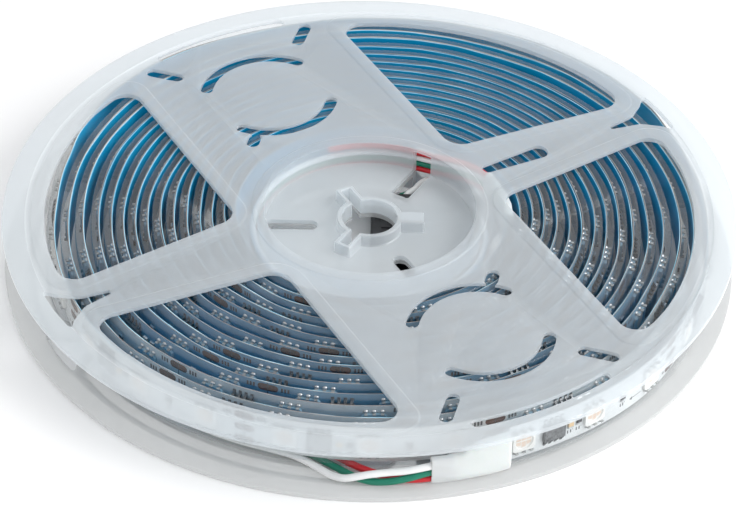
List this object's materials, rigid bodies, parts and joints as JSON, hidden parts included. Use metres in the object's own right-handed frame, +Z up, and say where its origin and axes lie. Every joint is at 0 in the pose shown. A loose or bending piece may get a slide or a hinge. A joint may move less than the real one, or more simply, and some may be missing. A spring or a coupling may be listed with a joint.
{
  "type": "led strip light",
  "caption": "Flat reel holding a coil of silicone-coated LED strip: white circuit outwards, blue liner inwards, coloured leads at both ends.",
  "frame": {"origin": "centre of the underside of the lower flange, where the reel lies on a table", "axes": "+Z up along the reel's axis; the outer end of the strip leaves towards -Y"},
  "size_m": [0.1548, 0.1548, 0.0129],
  "materials": {
    "reel": "milky translucent, satin",
    "jacket": "clear, glossy",
    "circuit": "white solder mask",
    "liner": "blue film",
    "led": "white package",
    "chip": "moulded",
    "capacitor": "ceramic",
    "resistor": "ceramic",
    "silicone": "matt",
    "wire_white": "insulation",
    "wire_green": "insulation",
    "wire_red": "insulation",
    "connector": "moulded",
    "contact": "tinned"
  },
  "bodies": {
    "root": {"reel_top_half": "reel", "reel_bottom_half": "reel", "strip_jacket": "jacket", "strip_circuit": "circuit", "strip_liner": "liner", "led_1": "led", "led_2": "led", "led_3": "led", "led_4": "led", "led_5": "led", "led_6": "led", "driver_chip_1": "chip", "driver_chip_2": "chip", "capacitor_1": "capacitor", "capacitor_2": "capacitor", "resistor_a_1": "resistor", "resistor_a_2": "resistor", "resistor_b_1": "resistor", "resistor_b_2": "resistor", "outer_end_cap": "silicone", "outer_sleeve": "silicone", "outer_lead_white": "wire_white", "outer_lead_green": "wire_green", "outer_lead_red": "wire_red", "inner_end_cap": "silicone", "inner_sleeve": "silicone", "inner_lead_power": "wire_red", "inner_lead_white": "wire_white", "inner_lead_green": "wire_green", "inner_lead_red": "wire_red", "connector_housing": "connector", "connector_pin_1": "contact", "connector_pin_2": "contact", "connector_pin_3": "contact"}
  },
  "joints": []
}
